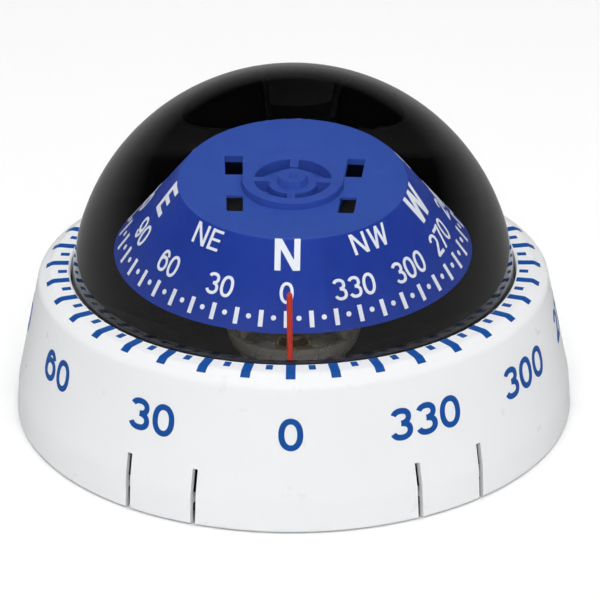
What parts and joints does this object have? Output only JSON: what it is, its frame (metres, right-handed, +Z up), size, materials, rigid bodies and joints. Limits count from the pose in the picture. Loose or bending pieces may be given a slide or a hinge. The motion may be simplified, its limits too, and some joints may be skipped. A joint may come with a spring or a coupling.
{
  "type": "deck-mount dome compass",
  "caption": "Surface-mount marine compass: fluid-filled clear dome, cone dial card on a gimballed pivot, and a turning numbered course ring on a fixed base.",
  "frame": {"origin": "on the compass axis, on the mounting surface under the base gasket", "axes": "+Z up along the compass axis, -Y towards the reader, where the lubber pin and the course ring's 0 mark stand"},
  "size_m": [0.108, 0.108, 0.067],
  "materials": {
    "ring_plastic": "white moulded plastic with blue print",
    "base_plastic": "dark moulded plastic",
    "foam_rubber": "closed-cell foam",
    "clear_acrylic": "polished clear acrylic",
    "black_plastic": "black moulded plastic",
    "seal_rubber": "moulded rubber",
    "stainless_screws": "stainless",
    "stainless_pins": "ground stainless",
    "brass_parts": "turned brass",
    "red_plastic": "red moulded plastic",
    "stamped_steel": "stamped stainless sheet",
    "card_plastic": "blue moulded plastic with white print",
    "magnet_metal": "sintered magnet",
    "jewel_stone": "polished sapphire"
  },
  "bodies": {
    "housing": {"mounting_base": "base_plastic", "base_gasket": "foam_rubber", "dome": "clear_acrylic", "bowl": "black_plastic", "dome_seal": "seal_rubber", "dome_screws": "stainless_screws", "capsule_screws": "stainless_screws", "diaphragm": "seal_rubber", "diaphragm_cover": "black_plastic", "cover_screws": "stainless_screws", "fill_plug": "brass_parts", "fill_plug_seal": "seal_rubber", "pin_retainers": "black_plastic"},
    "course_ring": {"course_ring": "ring_plastic"},
    "gimbal_ring": {"gimbal_ring": "black_plastic", "ring_pins": "stainless_pins", "lubber_pin": "red_plastic"},
    "gimbal_frame": {"gimbal_frame": "black_plastic", "pivot_cup": "stamped_steel", "frame_pins": "stainless_pins", "counterweight": "brass_parts", "pivot_post": "brass_parts", "pivot_needle": "stainless_pins", "post_nut": "brass_parts"},
    "card": {"card": "card_plastic", "magnet_carrier": "card_plastic", "magnet_west": "magnet_metal", "magnet_east": "magnet_metal", "jewel_cup": "brass_parts", "jewel": "jewel_stone"}
  },
  "joints": [
    {"name": "course_ring_turn", "type": "hinge", "parent": "housing", "child": "course_ring", "pos_m": [0, 0, 0.0289], "axis": [0, 0, 1], "continuous": true},
    {"name": "gimbal_roll", "type": "hinge", "parent": "housing", "child": "gimbal_ring", "pos_m": [0, 0, 0.0215], "axis": [0, 1, 0], "range_deg": [-20, 20]},
    {"name": "gimbal_pitch", "type": "hinge", "parent": "gimbal_ring", "child": "gimbal_frame", "pos_m": [0, 0, 0.0215], "axis": [1, 0, 0], "range_deg": [-20, 20]},
    {"name": "card_turn", "type": "hinge", "parent": "gimbal_frame", "child": "card", "pos_m": [0, 0, 0.035], "axis": [0, 0, 1], "continuous": true}
  ]
}
